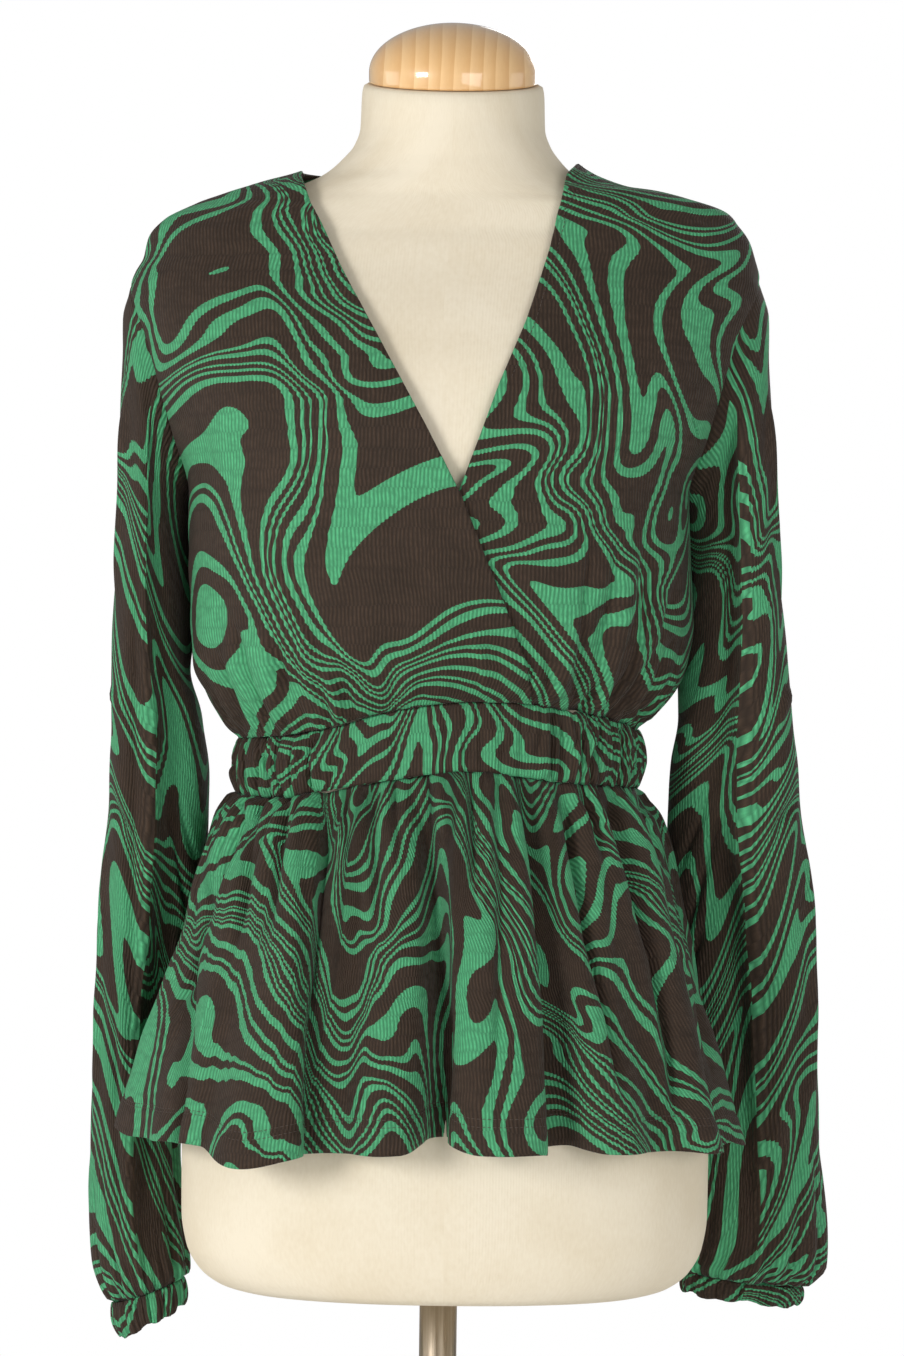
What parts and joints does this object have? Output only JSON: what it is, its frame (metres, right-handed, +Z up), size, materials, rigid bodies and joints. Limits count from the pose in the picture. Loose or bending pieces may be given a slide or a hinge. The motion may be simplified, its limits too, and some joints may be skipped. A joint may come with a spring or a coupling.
{
  "type": "long-sleeve wrap peplum top on a limbless dress form with its stand",
  "caption": "Long-sleeve V-neck wrap-front top with gathered waistband, flared peplum and elastic cuffs, worn by a limbless dress form on a round stand.",
  "frame": {"origin": "centre of the stand's underside, on the floor", "axes": "+Z up along the pole, the garment's front towards -Y, the wearer's left towards +X"},
  "size_m": [0.4682, 0.34, 1.4799],
  "materials": {
    "printed_knit": "crinkled plisse knit printed with green and dark brown marbled swirls, matt with a faint sheen",
    "cotton_jersey": "fine cream cotton jersey stretched over the form, matt",
    "varnished_pine": "turned pine, clear gloss varnish",
    "brushed_steel": "brushed, satin"
  },
  "bodies": {
    "root": {"bodice_front_right": "printed_knit", "bodice_front_left": "printed_knit", "bodice_back": "printed_knit", "waistband_front": "printed_knit", "waistband_back": "printed_knit", "peplum_front": "printed_knit", "peplum_back": "printed_knit", "sleeve_right_upper": "printed_knit", "sleeve_right_lower": "printed_knit", "sleeve_left_upper": "printed_knit", "sleeve_left_lower": "printed_knit", "cuff_right": "printed_knit", "cuff_left": "printed_knit", "form_torso": "cotton_jersey", "neck_cap": "varnished_pine", "stand_pole": "brushed_steel", "stand_base": "brushed_steel"}
  },
  "joints": []
}
